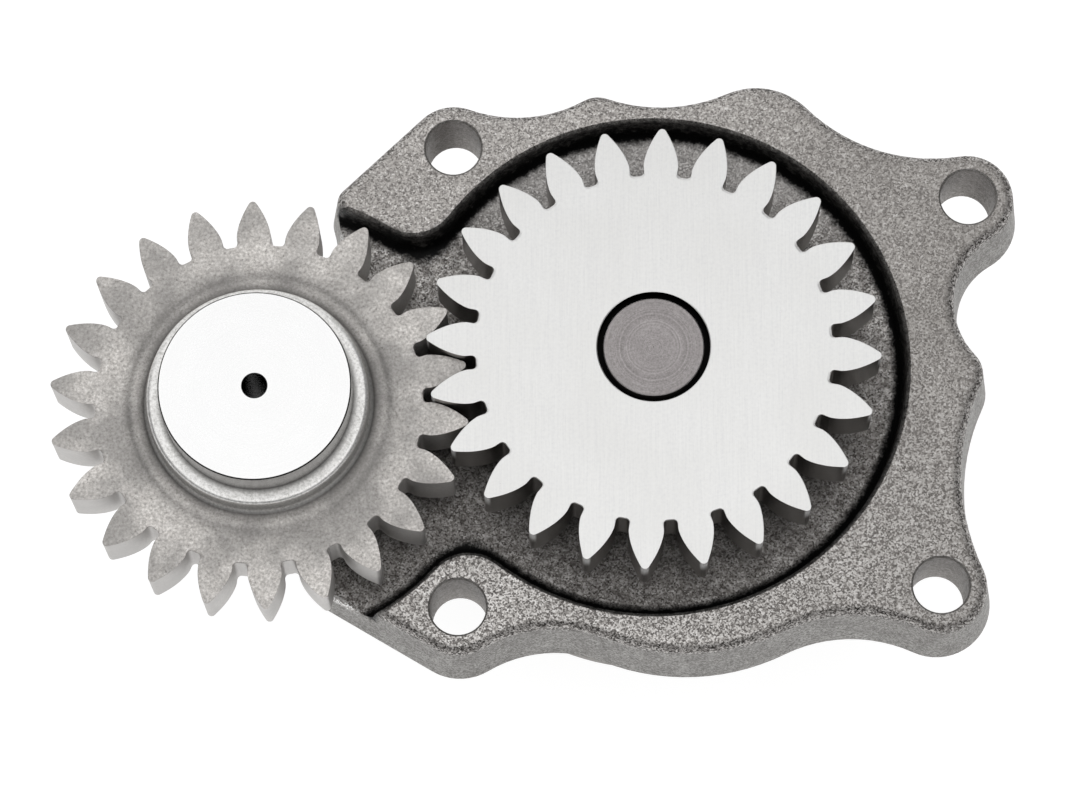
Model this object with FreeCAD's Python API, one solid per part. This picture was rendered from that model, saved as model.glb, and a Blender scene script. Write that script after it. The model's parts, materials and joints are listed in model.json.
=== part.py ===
import FreeCAD, Part
import math
import os
from FreeCAD import Vector

# Engine oil pump. A spur gear pair drives a shaft, and the shaft turns a gerotor set that pumps the oil.
# Millimetres. The origin is on the drive axis, in the flange's rear face, which seats on the engine.
# +Z points to the gears and +X away from the idler.

# Gear pair
MODULE = 2.75
DRIVE_TEETH = 24
IDLER_TEETH = 22
PRESSURE_ANGLE = math.radians(25.0)
ADDENDUM = 3.15
DRIVE_DEDENDUM = 4.65
IDLER_DEDENDUM = 4.15
BACKLASH = 0.26
TIP_RADIUS = 0.35
ROOT_CORNER_RADIUS = 0.7
FLANK_STEPS = 4
FLANK_STEP_GROWTH = 1.5
GEAR_WIDTH = 10.0
IDLER_DIRECTION = math.radians(187.79)
DRIVE_TOOTH_ANGLE = math.radians(87.5)
DRIVE_GEAR_BACK = 15.6
IDLER_GEAR_BACK = 13.5

# Flange of the cast body
FLANGE_THICKNESS = 14.6
RECESS_DEPTH = 5.5
DRAFT = math.radians(6.0)
FLANGE_EDGE_RADIUS = 2.0
HOLE_PLACES = [(51.2, 27.9), (-32.3, 36.5), (-31.2, -39.8), (45.6, -36.4)]
HOLE_RADIUS = 4.5
HOLE_EDGE_BREAK = 0.3
EAR_RADIUS = 8.8
RECESS_GAP_DRIVE = 4.8
RECESS_GAP_IDLER = 3.7
RECESS_CUSP_RADIUS = 7.5
RECESS_FLOOR_RADIUS = 2.0
RECESS_EDGE_BREAK = 0.5
OPEN_EDGE_RADIUS = 1.5

# Shaft and its bushes
SHAFT_RADIUS = 8.0
SHAFT_SET_BACK = 0.3
SHAFT_CHAMFER = 0.5
SHAFT_REAR_GAP = 1.0
BUSH_WALL = 2.0
BUSH_SET_BACK = 0.3
BUSH_CHAMFER = 0.4
RUNNING_CLEARANCE = 0.04
AXIAL_PLAY = 0.15
DRIVE_HUB_RADIUS = 14.5
DRIVE_HUB_HEIGHT = 4.0
DRIVE_BOSS_RADIUS = 15.0
GEAR_RECESS_RADIUS = 8.95
GEAR_RECESS_DEPTH = 2.5

# Barrel behind the flange, and the gerotor set in it
BARREL_DEPTH = 28.0
CHAMBER_WALL = 8.9
CHAMBER_DEPTH = 22.0
INNER_LOBES = 6
OUTER_ROTOR_RADIUS = 29.5
OUTER_ROTOR_WALL = 4.0
OUTER_ROTOR_CORNER_RADIUS = 0.8
ECCENTRICITY = 2.6
ECCENTRIC_DIRECTION = math.radians(90.0)
LOBE_RADIUS = 7.5
ROTOR_CLEARANCE = 0.10
ROTOR_END_CLEARANCE = 0.05
ROTOR_TIP_SPACE = 0.25
ROTOR_STEPS_PER_LOBE = 16
ROTOR_STEP_SHIFT = 0.6

# Back plate with its ports and fasteners
PLATE_THICKNESS = 7.0
PLATE_INSET = 1.0
PORT_INSET = 0.9
PORT_WIDTH = 6.6
INLET_HALF_SPAN = math.radians(68.0)
OUTLET_HALF_SPAN = math.radians(58.0)
SHADOW_PORT_DEPTH = 3.0
SCREW_RIM = 0.5
SCREW_RADIUS = 2.5
SCREW_HEAD_RADIUS = 4.6
SCREW_LENGTH = 18.0
SCREW_SINK = 0.2
SCREW_SPACING = math.radians(60.0)
SCREW_COUNT = 5
DRIVE_SOCKET_RADIUS = 1.5
DRIVE_SOCKET_DEPTH = 2.2
SCREW_HOLE_EXTRA = 2.0
SCREW_CLEARANCE = 0.2
DOWEL_INSET = 5.0
DOWEL_RADIUS = 2.0
DOWEL_DEPTH = 6.0

# Idler gear's hub, bush and pin
HUB_RADIUS = 17.6
HUB_HEIGHT = 4.7
HUB_EDGE_RADIUS = 1.4
HUB_BASE_RADIUS = 2.4
HUB_LAND_WIDTH = 0.6
HUB_LAND_HEIGHT = 0.4
HUB_LAND_SLOPE_WIDTH = 1.6
REAR_HUB_HEIGHT = 1.8
PIN_RADIUS = 10.0
PIN_HEAD_RADIUS = 15.2
PIN_HEAD_HEIGHT = 6.2
PIN_HEAD_CHAMFER = 0.5
PIN_TAIL_RADIUS = 9.0
PIN_TAIL_LENGTH = 9.0
PIN_TAIL_CHAMFER = 1.0
PIN_OIL_HOLE_RADIUS = 2.0
PIN_FEED_HOLE_RADIUS = 1.5
IDLER_BUSH_WALL = 2.5
IDLER_BOSS_RADIUS = 17.0
IDLER_BOSS_RISE = 0.5
WASHER_RADIUS = 16.0
WASHER_INNER_SPACE = 0.2

# How near two heights, two radii or two points are when they count as one
SAME = 1e-4
TOUCHING = 1e-3

DRIVE_PITCH_RADIUS = MODULE * DRIVE_TEETH / 2
IDLER_PITCH_RADIUS = MODULE * IDLER_TEETH / 2
CENTRE_DISTANCE = DRIVE_PITCH_RADIUS + IDLER_PITCH_RADIUS
DRIVE_GEAR_FRONT = DRIVE_GEAR_BACK + GEAR_WIDTH
IDLER_GEAR_FRONT = IDLER_GEAR_BACK + GEAR_WIDTH
IDLER_X = CENTRE_DISTANCE * math.cos(IDLER_DIRECTION)
IDLER_Y = CENTRE_DISTANCE * math.sin(IDLER_DIRECTION)
RECESS_FLOOR = FLANGE_THICKNESS - RECESS_DEPTH
HUB_TOP = IDLER_GEAR_FRONT + HUB_HEIGHT
HUB_LAND_RADIUS = HUB_RADIUS + HUB_BASE_RADIUS + HUB_LAND_WIDTH
IDLER_HUB_BACK = IDLER_GEAR_BACK - REAR_HUB_HEIGHT
DRIVE_HUB_BACK = DRIVE_GEAR_BACK - DRIVE_HUB_HEIGHT
DRIVE_BOSS_TOP = DRIVE_HUB_BACK - AXIAL_PLAY
IDLER_BOSS_TOP = RECESS_FLOOR + IDLER_BOSS_RISE
BARREL_BACK = -BARREL_DEPTH
CHAMBER_FRONT = BARREL_BACK + CHAMBER_DEPTH
PLATE_BACK = BARREL_BACK - PLATE_THICKNESS
ECCENTRIC_X = ECCENTRICITY * math.cos(ECCENTRIC_DIRECTION)
ECCENTRIC_Y = ECCENTRICITY * math.sin(ECCENTRIC_DIRECTION)
BARREL_RADIUS = OUTER_ROTOR_RADIUS + ECCENTRICITY + CHAMBER_WALL
PLATE_RADIUS = BARREL_RADIUS - PLATE_INSET
ROTOR_ROOT_RADIUS = OUTER_ROTOR_RADIUS - OUTER_ROTOR_WALL
LOBE_CIRCLE = ROTOR_ROOT_RADIUS - ROTOR_TIP_SPACE - 2 * ECCENTRICITY + LOBE_RADIUS
PORT_OUTER_RADIUS = ROTOR_ROOT_RADIUS - PORT_INSET
PORT_INNER_RADIUS = PORT_OUTER_RADIUS - PORT_WIDTH
SCREW_CIRCLE = PLATE_RADIUS - SCREW_RIM - SCREW_HEAD_RADIUS
DOWEL_CIRCLE = BARREL_RADIUS - DOWEL_INSET
BUSH_RADIUS = SHAFT_RADIUS + BUSH_WALL
IDLER_BUSH_RADIUS = PIN_RADIUS + IDLER_BUSH_WALL


def polar(radius, angle, height=0.0, x=0.0, y=0.0):
    """Point at a radius and an angle round the upright line through x, y."""
    return Vector(x + radius * math.cos(angle), y + radius * math.sin(angle), height)


def cylinder(radius, bottom, top, x=0.0, y=0.0):
    """Upright cylinder between two heights."""
    return Part.makeCylinder(radius, top - bottom, Vector(x, y, bottom))


def ring(inner, outer, bottom, top, x=0.0, y=0.0):
    """Upright tube between two heights."""
    return cylinder(outer, bottom, top, x, y).cut(cylinder(inner, bottom, top, x, y))


def prism(wire, bottom, top):
    """Solid between two heights over a closed flat wire."""
    face = Part.Face(wire)
    face.translate(Vector(0, 0, bottom))
    return face.extrude(Vector(0, 0, top - bottom))


def edges_at(solid, height):
    """Edges that lie flat at one height."""
    return [edge for edge in solid.Edges
            if abs(edge.BoundBox.ZMin - height) < SAME and abs(edge.BoundBox.ZMax - height) < SAME]


def circles_at(solid, height, radius):
    """Round edges of one radius at one height."""
    return [edge for edge in edges_at(solid, height)
            if isinstance(edge.Curve, Part.Circle) and abs(edge.Curve.Radius - radius) < SAME]


def hollow_centre(lobe, following, radius):
    """Centre of the arc that touches two lobes from outside, on the right of the way between them."""
    way = Vector(following[0] - lobe[0], following[1] - lobe[1], 0)
    to_first = lobe[2] + radius
    to_second = following[2] + radius
    along = (to_first ** 2 - to_second ** 2 + way.Length ** 2) / (2 * way.Length)
    aside = math.sqrt(to_first ** 2 - along ** 2)
    unit = way.normalize()
    return Vector(lobe[0] + along * unit.x + aside * unit.y, lobe[1] + along * unit.y - aside * unit.x, 0)


def outline_arcs(lobes):
    """Arcs of the closed outline round lobes (x, y, radius, hollow), counter-clockwise.

    A hollow is the radius of the inward arc to the next lobe. Without one the two lobes are joined
    by a straight line that touches both. Each arc is (centre, bend, first angle, sweep), where a bend
    under zero marks a hollow and a sweep under zero runs clockwise. The ratio is rounded because the
    arcsine near one turns the last digit of a touching pair into a visible step.
    """
    circles = []
    for lobe, following in zip(lobes, lobes[1:] + lobes[:1]):
        circles.append((Vector(lobe[0], lobe[1], 0), lobe[2]))
        if lobe[3]:
            circles.append((hollow_centre(lobe, following, lobe[3]), -lobe[3]))
    normals = []
    for (centre, bend), (next_centre, next_bend) in zip(circles, circles[1:] + circles[:1]):
        way = next_centre - centre
        lean = max(-1.0, min(1.0, round((next_bend - bend) / way.Length, 9)))
        normals.append(math.atan2(way.y, way.x) - math.asin(lean) - math.pi / 2)
    arcs = []
    for index, (centre, bend) in enumerate(circles):
        turn = math.copysign(1.0, bend)
        sweep = turn * ((turn * (normals[index] - normals[index - 1])) % (2 * math.pi))
        arcs.append((centre, bend, normals[index - 1], sweep))
    return arcs


def lobed_outline(arcs, grow, height):
    """Flat closed wire along the outline's arcs, offset outwards by grow."""
    starts = [centre + polar(bend + grow, first, height) for centre, bend, first, sweep in arcs]
    edges = []
    for index, (centre, bend, first, sweep) in enumerate(arcs):
        middle = centre + polar(bend + grow, first + sweep / 2, height)
        end = centre + polar(bend + grow, first + sweep, height)
        edges.append(Part.Arc(starts[index], middle, end).toShape())
        following = starts[(index + 1) % len(starts)]
        if end.distanceToPoint(following) > TOUCHING:
            edges.append(Part.LineSegment(end, following).toShape())
    return Part.Wire(edges)


def walled_solid(lobes, profile):
    """Solid whose wall has one cross-section all round the outline.

    The profile lists (outward offset, height) from the bottom up. A third number in an entry is the
    bulge of an arc from the entry before: the distance of its middle from the chord, outwards.
    """
    arcs = outline_arcs(lobes)
    faces = []
    for index, (centre, bend, first, sweep) in enumerate(arcs):
        outward = polar(1.0, first)
        base = centre + outward * bend
        section = wall_section(base, outward, profile)
        faces += section.revolve(centre, Vector(0, 0, 1), math.degrees(sweep)).Faces
        next_centre, next_bend, next_first, next_sweep = arcs[(index + 1) % len(arcs)]
        end = centre + polar(bend, first + sweep)
        following = next_centre + polar(next_bend, next_first)
        if end.distanceToPoint(following) > TOUCHING:
            section = wall_section(end, polar(1.0, next_first), profile)
            faces += section.extrude(following - end).Faces
    for offset, height in (profile[0][:2], profile[-1][:2]):
        faces.append(Part.Face(lobed_outline(arcs, offset, height)))
    skin = Part.makeCompound(faces)
    skin.sewShape()
    return Part.makeSolid(skin.Shells[0])


def wall_section(base, outward, profile):
    """Cross-section of a wall, standing on a point of the outline."""
    edges = []
    points = [base + outward * entry[0] + Vector(0, 0, entry[1]) for entry in profile]
    for start, end, entry in zip(points, points[1:], profile[1:]):
        if len(entry) < 3:
            edges.append(Part.LineSegment(start, end).toShape())
            continue
        chord = end - start
        side = outward * chord.z - Vector(0, 0, chord.dot(outward))
        middle = (start + end) * 0.5 + side.normalize() * entry[2]
        edges.append(Part.Arc(start, middle, end).toShape())
    return Part.Wire(edges)


def corner_round(radius):
    """Reach along both sides, and bulge from its chord, of a round between a flat and the drafted wall."""
    turn = math.pi / 2 - DRAFT
    return radius * math.tan(turn / 2), radius * (1 - math.cos(turn / 2))


def flange_wall(height, edge_radius):
    """Section of the flange's wall: drafted inwards from the rear face and rounded over at a height."""
    reach, bulge = corner_round(edge_radius)
    slope = math.tan(DRAFT)
    round_start = height - reach * math.cos(DRAFT)
    return [
        (0.0, 0.0),
        (-round_start * slope, round_start),
        (-height * slope - reach, height, bulge),
    ]


def recess_wall():
    """Section of the recess's wall: round at the floor, drafted outwards, with a broken top edge."""
    reach, bulge = corner_round(RECESS_FLOOR_RADIUS)
    slope = math.tan(DRAFT)
    edge = RECESS_EDGE_BREAK
    return [
        (-RECESS_DEPTH * slope - reach, RECESS_FLOOR),
        ((reach * math.cos(DRAFT) - RECESS_DEPTH) * slope, RECESS_FLOOR + reach * math.cos(DRAFT), bulge),
        (-edge * slope, FLANGE_THICKNESS - edge),
        (edge, FLANGE_THICKNESS),
        (edge, FLANGE_THICKNESS + RECESS_DEPTH),
    ]


def flange_lobes():
    """Flange outline at its rear face: an ear at each hole, swellings between, and the idler's boss."""
    right_top, left_top, left_bottom, right_bottom = HOLE_PLACES
    return [
        (*right_top, EAR_RADIUS, 27.0),
        (17.0, 35.4, 13.0, 25.0),
        (-8.8, 40.9, 6.0, 21.0),
        (*left_top, EAR_RADIUS, None),
        (-48.5, 27.7, 4.0, 14.0),
        (IDLER_X, IDLER_Y, IDLER_BOSS_RADIUS, 10.0),
        (-50.5, -32.8, 5.0, None),
        (*left_bottom, EAR_RADIUS, 21.0),
        (5.2, -12.2, 36.2, 24.0),
        (*right_bottom, EAR_RADIUS, 35.0),
        (48.5, -1.3, 6.0, 11.5),
    ]


def recess_lobes():
    """Outline of the shallow recess under the two gears."""
    drive = DRIVE_PITCH_RADIUS + ADDENDUM + RECESS_GAP_DRIVE
    idler = IDLER_PITCH_RADIUS + ADDENDUM + RECESS_GAP_IDLER
    return [
        (0.0, 0.0, drive, RECESS_CUSP_RADIUS),
        (IDLER_X, IDLER_Y, idler, RECESS_CUSP_RADIUS),
    ]


def open_floor_edge():
    """What to cut away to round the recess's floor over where it runs out of the flange's open side."""
    low_flange = walled_solid(flange_lobes(), flange_wall(RECESS_FLOOR, OPEN_EDGE_RADIUS))
    outline = lobed_outline(outline_arcs(recess_lobes()), 0.0, 0.0)
    return prism(outline, RECESS_FLOOR - OPEN_EDGE_RADIUS, RECESS_FLOOR).cut(low_flange)


def kidney(direction, half_span, bottom, top):
    """Curved slot with round ends, centred between the two rotors' axes."""
    x = ECCENTRIC_X / 2
    y = ECCENTRIC_Y / 2
    end_radius = PORT_WIDTH / 2
    middle = PORT_INNER_RADIUS + end_radius
    outer = PORT_OUTER_RADIUS
    first = direction - half_span + end_radius / middle
    last = direction + half_span - end_radius / middle
    edges = [
        Part.Arc(polar(outer, first, 0, x, y), polar(outer, direction, 0, x, y), polar(outer, last, 0, x, y)),
        Part.Arc(polar(outer, last, 0, x, y),
                 polar(middle, last, 0, x, y) + polar(end_radius, last + math.pi / 2),
                 polar(PORT_INNER_RADIUS, last, 0, x, y)),
        Part.Arc(polar(PORT_INNER_RADIUS, last, 0, x, y), polar(PORT_INNER_RADIUS, direction, 0, x, y),
                 polar(PORT_INNER_RADIUS, first, 0, x, y)),
        Part.Arc(polar(PORT_INNER_RADIUS, first, 0, x, y),
                 polar(middle, first, 0, x, y) + polar(end_radius, first - math.pi / 2),
                 polar(outer, first, 0, x, y)),
    ]
    return prism(Part.Wire([edge.toShape() for edge in edges]), bottom, top)


def ports(bottom, top):
    """Inlet and outlet, one on each side of the line through the rotors' axes."""
    inlet = kidney(ECCENTRIC_DIRECTION + math.pi / 2, INLET_HALF_SPAN, bottom, top)
    outlet = kidney(ECCENTRIC_DIRECTION - math.pi / 2, OUTLET_HALF_SPAN, bottom, top)
    return [inlet, outlet]


def screw_angles():
    """The plate's screws stand clear of the side where the chamber's wall is thinnest."""
    return [ECCENTRIC_DIRECTION + SCREW_SPACING * (index + 1) for index in range(SCREW_COUNT)]


def dowel_angles():
    """Two dowels, not quite opposite each other, so that the plate fits one way only."""
    first = screw_angles()[0] + SCREW_SPACING / 2
    return [first, first + SCREW_SPACING * 3]


def mounting_hole(x, y):
    """Drilled hole through an ear, with its front edge broken."""
    cone_bottom = FLANGE_THICKNESS - HOLE_EDGE_BREAK
    cone = Part.makeCone(HOLE_RADIUS, HOLE_RADIUS + HOLE_EDGE_BREAK, HOLE_EDGE_BREAK, Vector(x, y, cone_bottom))
    return cylinder(HOLE_RADIUS, 0.0, FLANGE_THICKNESS, x, y).fuse(cone)


def pump_body():
    """Cast body: flange with the gears' recess, two bosses, and the barrel with the rotors' chamber."""
    flange = walled_solid(flange_lobes(), flange_wall(FLANGE_THICKNESS, FLANGE_EDGE_RADIUS))
    body = flange.cut([walled_solid(recess_lobes(), recess_wall()), open_floor_edge()])
    body = body.fuse([
        cylinder(BARREL_RADIUS, BARREL_BACK, 0.0),
        cylinder(DRIVE_BOSS_RADIUS, 0.0, DRIVE_BOSS_TOP),
        cylinder(WASHER_RADIUS, 0.0, IDLER_BOSS_TOP, IDLER_X, IDLER_Y),
    ])
    chamber_radius = OUTER_ROTOR_RADIUS + RUNNING_CLEARANCE
    cuts = [
        cylinder(chamber_radius, BARREL_BACK, CHAMBER_FRONT, ECCENTRIC_X, ECCENTRIC_Y),
        cylinder(BUSH_RADIUS, CHAMBER_FRONT, DRIVE_BOSS_TOP),
        cylinder(PIN_RADIUS, 0.0, IDLER_BOSS_TOP, IDLER_X, IDLER_Y),
    ]
    cuts += [mounting_hole(x, y) for x, y in HOLE_PLACES]
    cuts += ports(CHAMBER_FRONT, CHAMBER_FRONT + SHADOW_PORT_DEPTH)
    screw_depth = SCREW_LENGTH - PLATE_THICKNESS + SCREW_HOLE_EXTRA
    for angle in screw_angles():
        place = polar(SCREW_CIRCLE, angle)
        cuts.append(cylinder(SCREW_RADIUS, BARREL_BACK, BARREL_BACK + screw_depth, place.x, place.y))
    for angle in dowel_angles():
        place = polar(DOWEL_CIRCLE, angle)
        cuts.append(cylinder(DOWEL_RADIUS, BARREL_BACK, BARREL_BACK + DOWEL_DEPTH, place.x, place.y))
    return body.cut(cuts)


def back_plate():
    """Cover that closes the chamber, carries the rear bush and holds the two ports."""
    plate = cylinder(PLATE_RADIUS, PLATE_BACK, BARREL_BACK)
    cuts = [cylinder(BUSH_RADIUS, PLATE_BACK, BARREL_BACK)]
    cuts += ports(PLATE_BACK, BARREL_BACK)
    hole = SCREW_RADIUS + SCREW_CLEARANCE
    cone_depth = SCREW_HEAD_RADIUS - SCREW_RADIUS
    for angle in screw_angles():
        place = polar(SCREW_CIRCLE, angle, PLATE_BACK)
        cuts.append(cylinder(hole, PLATE_BACK, BARREL_BACK, place.x, place.y))
        cuts.append(cylinder(SCREW_HEAD_RADIUS, PLATE_BACK, PLATE_BACK + SCREW_SINK, place.x, place.y))
        cone_base = place + Vector(0, 0, SCREW_SINK)
        cuts.append(Part.makeCone(SCREW_HEAD_RADIUS, SCREW_RADIUS, cone_depth, cone_base))
    for angle in dowel_angles():
        place = polar(DOWEL_CIRCLE, angle)
        cuts.append(cylinder(DOWEL_RADIUS, PLATE_BACK, BARREL_BACK, place.x, place.y))
    return plate.cut(cuts)


def back_plate_screw(angle):
    """Countersunk screw with a hexagon socket, head just below the plate's rear face."""
    place = polar(SCREW_CIRCLE, angle, PLATE_BACK + SCREW_SINK)
    cone_depth = SCREW_HEAD_RADIUS - SCREW_RADIUS
    head = Part.makeCone(SCREW_HEAD_RADIUS, SCREW_RADIUS, cone_depth, place)
    tip = PLATE_BACK + SCREW_LENGTH
    screw = head.fuse(cylinder(SCREW_RADIUS, place.z + cone_depth, tip, place.x, place.y))
    corners = [polar(DRIVE_SOCKET_RADIUS, k * math.pi / 3, 0, place.x, place.y) for k in range(7)]
    return screw.cut(prism(Part.makePolygon(corners), place.z, place.z + DRIVE_SOCKET_DEPTH))


def back_plate_dowel(angle):
    """Hardened pin that places the back plate on the barrel."""
    place = polar(DOWEL_CIRCLE, angle)
    return cylinder(DOWEL_RADIUS, PLATE_BACK + SCREW_SINK, BARREL_BACK + DOWEL_DEPTH, place.x, place.y)


def bush(inner, outer, bottom, top, x=0.0, y=0.0):
    """Plain bearing bush with its bore's ends broken."""
    tube = ring(inner, outer, bottom, top, x, y)
    ends = circles_at(tube, bottom, inner) + circles_at(tube, top, inner)
    return tube.makeChamfer(BUSH_CHAMFER, ends)


def drive_shaft():
    """Ground shaft from the drive gear's face to the rear bush."""
    front = DRIVE_GEAR_FRONT - SHAFT_SET_BACK
    rear = PLATE_BACK + SHAFT_REAR_GAP
    shaft = cylinder(SHAFT_RADIUS, rear, front)
    ends = circles_at(shaft, front, SHAFT_RADIUS) + circles_at(shaft, rear, SHAFT_RADIUS)
    return shaft.makeChamfer(SHAFT_CHAMFER, ends)


def arcs_through(points):
    """Arcs that follow a curve, each through three of its points in turn."""
    return [Part.Arc(*points[index:index + 3]) for index in range(0, len(points) - 2, 2)]


def gear_blank(teeth, dedendum, tooth_angle, bottom, top):
    """Spur gear prism centred on the origin.

    A flank is the involute of the base circle, followed by arcs through its points and carried
    straight inwards from there. A gap's bottom lies on the root circle between two round corners,
    and a tip is one arc.
    """
    pitch = MODULE * teeth / 2
    base = pitch * math.cos(PRESSURE_ANGLE)
    tip = pitch + ADDENDUM
    root = pitch - dedendum
    half_tooth = math.pi / (2 * teeth) - BACKLASH / (4 * pitch)
    base_half = half_tooth + math.tan(PRESSURE_ANGLE) - PRESSURE_ANGLE
    half_gap = math.pi / teeth - base_half
    corner_turn = half_gap - math.asin(ROOT_CORNER_RADIUS / (root + ROOT_CORNER_RADIUS))
    corner_centre = root + ROOT_CORNER_RADIUS
    flank_start = corner_centre * math.cos(half_gap - corner_turn)
    flank_end = tip - TIP_RADIUS

    def half_angle(radius):
        """Half of the tooth's angle at a radius on the involute."""
        roll = math.acos(base / radius)
        return base_half - (math.tan(roll) - roll)

    shares = [(k / FLANK_STEPS) ** FLANK_STEP_GROWTH for k in range(FLANK_STEPS + 1)]
    radii = [base + (flank_end - base) * share for share in shares]
    edges = []
    for index in range(teeth):
        middle = tooth_angle + index * 2 * math.pi / teeth
        gap = middle + math.pi / teeth
        rising = [polar(radius, middle - half_angle(radius)) for radius in radii]
        falling = [polar(radius, middle + half_angle(radius)) for radius in reversed(radii)]
        edges.append(Part.LineSegment(polar(flank_start, middle - base_half), rising[0]))
        edges += arcs_through(rising)
        edges.append(Part.Arc(rising[-1], polar(tip, middle), falling[0]))
        edges += arcs_through(falling)
        edges.append(Part.LineSegment(falling[-1], polar(flank_start, middle + base_half)))
        corners = []
        for side in (-1, 1):
            centre = polar(corner_centre, gap + side * corner_turn)
            flank = polar(flank_start, gap + side * half_gap)
            bottom_end = polar(root, gap + side * corner_turn)
            bulge = ((flank - centre) + (bottom_end - centre)).normalize() * ROOT_CORNER_RADIUS
            corners.append((flank, centre + bulge, bottom_end))
        edges.append(Part.Arc(*corners[0]))
        edges.append(Part.Arc(corners[0][2], polar(root, gap), corners[1][2]))
        edges.append(Part.Arc(*reversed(corners[1])))
    return prism(Part.Wire([edge.toShape() for edge in edges]), bottom, top)


def drive_gear():
    """Gear pressed on the shaft, flush at the front, with a short hub that runs on the body's boss."""
    gear = gear_blank(DRIVE_TEETH, DRIVE_DEDENDUM, DRIVE_TOOTH_ANGLE, DRIVE_GEAR_BACK, DRIVE_GEAR_FRONT)
    gear = gear.fuse(cylinder(DRIVE_HUB_RADIUS, DRIVE_HUB_BACK, DRIVE_GEAR_BACK))
    seat = DRIVE_GEAR_FRONT - GEAR_RECESS_DEPTH
    return gear.cut([
        cylinder(SHAFT_RADIUS, DRIVE_HUB_BACK, DRIVE_GEAR_FRONT),
        cylinder(GEAR_RECESS_RADIUS, seat, DRIVE_GEAR_FRONT),
    ])


def idler_tooth_angle():
    """Turn of the idler that puts one of its teeth in the middle of a gap of the drive gear."""
    pitch_angle = 2 * math.pi / DRIVE_TEETH
    past_gap = (IDLER_DIRECTION - DRIVE_TOOTH_ANGLE - pitch_angle / 2) % pitch_angle
    return IDLER_DIRECTION + math.pi + past_gap * DRIVE_TEETH / IDLER_TEETH


def idler_gear():
    """Idler with a raised hub in front that blends into a low land on its face, and a low hub behind."""
    gear = gear_blank(IDLER_TEETH, IDLER_DEDENDUM, idler_tooth_angle(), IDLER_GEAR_BACK, IDLER_GEAR_FRONT)
    land = IDLER_GEAR_FRONT + HUB_LAND_HEIGHT
    slope_foot = HUB_LAND_RADIUS + HUB_LAND_SLOPE_WIDTH
    gear = gear.fuse([
        Part.makeCone(slope_foot, HUB_LAND_RADIUS, HUB_LAND_HEIGHT, Vector(0, 0, IDLER_GEAR_FRONT)),
        cylinder(HUB_RADIUS, land, HUB_TOP),
        cylinder(HUB_RADIUS, IDLER_HUB_BACK, IDLER_GEAR_BACK),
    ])
    gear = gear.makeFillet(HUB_BASE_RADIUS, circles_at(gear, land, HUB_RADIUS))
    gear = gear.makeFillet(HUB_EDGE_RADIUS, circles_at(gear, HUB_TOP, HUB_RADIUS))
    gear = gear.cut(cylinder(IDLER_BUSH_RADIUS, IDLER_HUB_BACK, HUB_TOP))
    gear.translate(Vector(IDLER_X, IDLER_Y, 0))
    return gear


def idler_pin():
    """Fixed pin: a wide head keeps the gear on, and its tail stands out behind to locate in the block."""
    head_bottom = HUB_TOP + AXIAL_PLAY
    head_top = head_bottom + PIN_HEAD_HEIGHT
    head = cylinder(PIN_HEAD_RADIUS, head_bottom, head_top)
    head = head.makeChamfer(PIN_HEAD_CHAMFER, circles_at(head, head_top, PIN_HEAD_RADIUS))
    shank = cylinder(PIN_RADIUS, 0.0, head_bottom)
    tail = cylinder(PIN_TAIL_RADIUS, -PIN_TAIL_LENGTH, 0.0)
    tail = tail.makeChamfer(PIN_TAIL_CHAMFER, circles_at(tail, -PIN_TAIL_LENGTH, PIN_TAIL_RADIUS))
    feed_height = (IDLER_HUB_BACK + HUB_TOP) / 2
    feed = Part.makeCylinder(PIN_FEED_HOLE_RADIUS, PIN_RADIUS, Vector(0, 0, feed_height), Vector(1, 0, 0))
    oil_hole = cylinder(PIN_OIL_HOLE_RADIUS, -PIN_TAIL_LENGTH, head_top)
    pin = head.fuse([shank, tail]).cut([oil_hole, feed])
    pin.translate(Vector(IDLER_X, IDLER_Y, 0))
    return pin


def inner_rotor():
    """Inner gerotor: the curve that the outer rotor's round lobes wrap, drawn in by the clearance.

    The lobe centres trace P(t) = C (cos t, sin t) - e (cos (n + 1) t, sin (n + 1) t) round the inner
    rotor, and its edge lies one lobe radius inside P along the normal. The steps in t are shorter in
    the hollows, where the edge runs faster than P.
    """
    steps = INNER_LOBES * ROTOR_STEPS_PER_LOBE
    turns = INNER_LOBES + 1
    points = []
    for k in range(steps + 1):
        even = 2 * math.pi * k / steps
        t = even - ROTOR_STEP_SHIFT * math.sin(INNER_LOBES * even) / INNER_LOBES
        x = LOBE_CIRCLE * math.cos(t) - ECCENTRICITY * math.cos(turns * t)
        y = LOBE_CIRCLE * math.sin(t) - ECCENTRICITY * math.sin(turns * t)
        dx = -LOBE_CIRCLE * math.sin(t) + ECCENTRICITY * turns * math.sin(turns * t)
        dy = LOBE_CIRCLE * math.cos(t) - ECCENTRICITY * turns * math.cos(turns * t)
        inset = (LOBE_RADIUS + ROTOR_CLEARANCE) / math.hypot(dx, dy)
        points.append(Vector(x - dy * inset, y + dx * inset, 0))
    wire = Part.Wire([arc.toShape() for arc in arcs_through(points)])
    rotor = prism(wire, BARREL_BACK + ROTOR_END_CLEARANCE, CHAMBER_FRONT - ROTOR_END_CLEARANCE)
    rotor.rotate(Vector(0, 0, 0), Vector(0, 0, 1), math.degrees(ECCENTRIC_DIRECTION + math.pi))
    return rotor.cut(cylinder(SHAFT_RADIUS, BARREL_BACK, CHAMBER_FRONT))


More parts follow.
